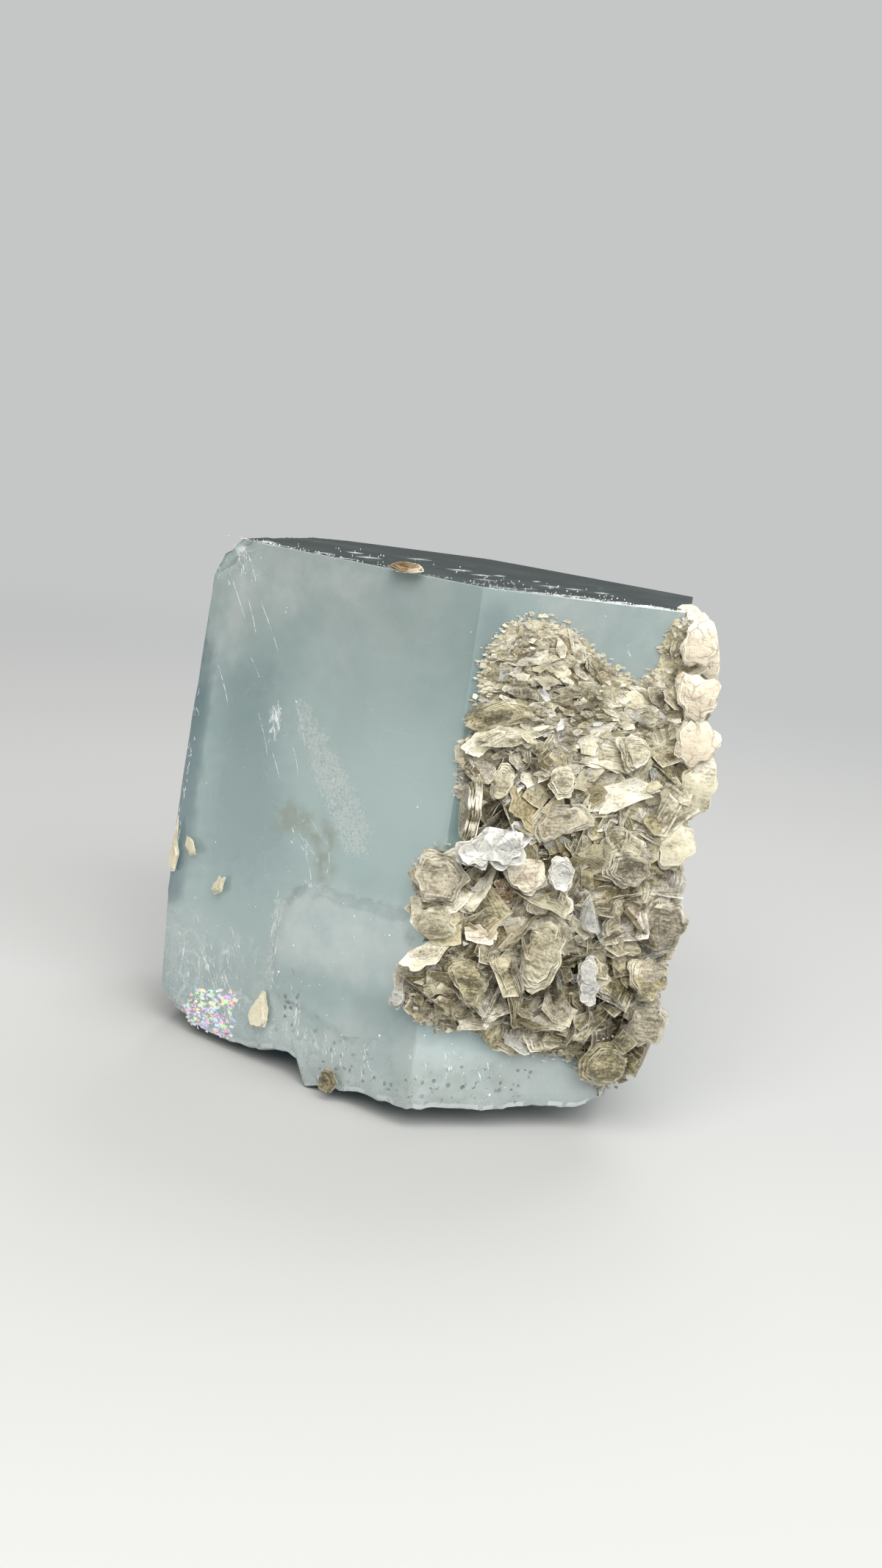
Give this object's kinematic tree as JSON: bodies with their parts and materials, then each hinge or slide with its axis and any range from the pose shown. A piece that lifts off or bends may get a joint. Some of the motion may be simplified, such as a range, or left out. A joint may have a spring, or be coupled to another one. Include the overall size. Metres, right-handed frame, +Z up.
{
  "type": "aquamarine crystal with mica",
  "caption": "Short thick hexagonal aquamarine crystal with a flat top and a broken base that it stands on, crusted with muscovite mica on two faces, to show as a mineral specimen.",
  "frame": {"origin": "middle of the whole object's box, on the surface that it stands on", "axes": "+Z up along the crystal's long axis, the mica-covered edge between the front-right and right faces towards +X and -Y"},
  "size_m": [0.0552, 0.0616, 0.0556],
  "materials": {
    "aquamarine": "pale sea-blue clear crystal with a faint milky haze, glassy faces",
    "mica_crust": "matted small mica flakes, khaki to olive, pearly glints",
    "mica_silver": "mica cleavage face, silvery pearly sheen",
    "mica_cream": "mica cleavage face, cream, satin sheen",
    "mica_pink": "mica cleavage face, pinkish cream, satin with fine cracks",
    "mica_grey": "mica cleavage face, translucent smoky grey",
    "mica_olive": "thick mica book, dark olive, layered edges",
    "mica_stained": "mica flake stained orange by iron"
  },
  "bodies": {
    "root": {"aquamarine_crystal": "aquamarine", "mica_crust": "mica_crust", "book_cream_curved": "mica_cream", "book_cream_mid": "mica_cream", "book_cream_right": "mica_cream", "book_cream_under": "mica_cream", "book_grey_large": "mica_grey", "book_grey_left": "mica_grey", "book_grey_right": "mica_grey", "book_low_left": "mica_cream", "book_low_right": "mica_olive", "book_olive_left": "mica_olive", "book_oval_left": "mica_cream", "book_pink": "mica_pink", "book_silver_low": "mica_silver", "book_silver_twin": "mica_silver", "book_tan_left": "mica_cream", "book_thin_edge": "mica_silver", "book_upright_left": "mica_cream", "book_wedge_grey": "mica_silver", "book_wedge_olive": "mica_cream", "book_white": "mica_silver", "fin_bead": "mica_cream", "fin_brown": "mica_olive", "fin_low": "mica_grey", "fin_lower_middle": "mica_cream", "fin_middle": "mica_pink", "fin_olive": "mica_grey", "fin_top": "mica_pink", "fin_upper": "mica_pink", "flake_brown_base": "mica_olive", "flake_left_edge": "mica_cream", "flake_left_low": "mica_cream", "flake_left_side": "mica_cream", "flake_rim": "mica_stained"}
  },
  "joints": []
}
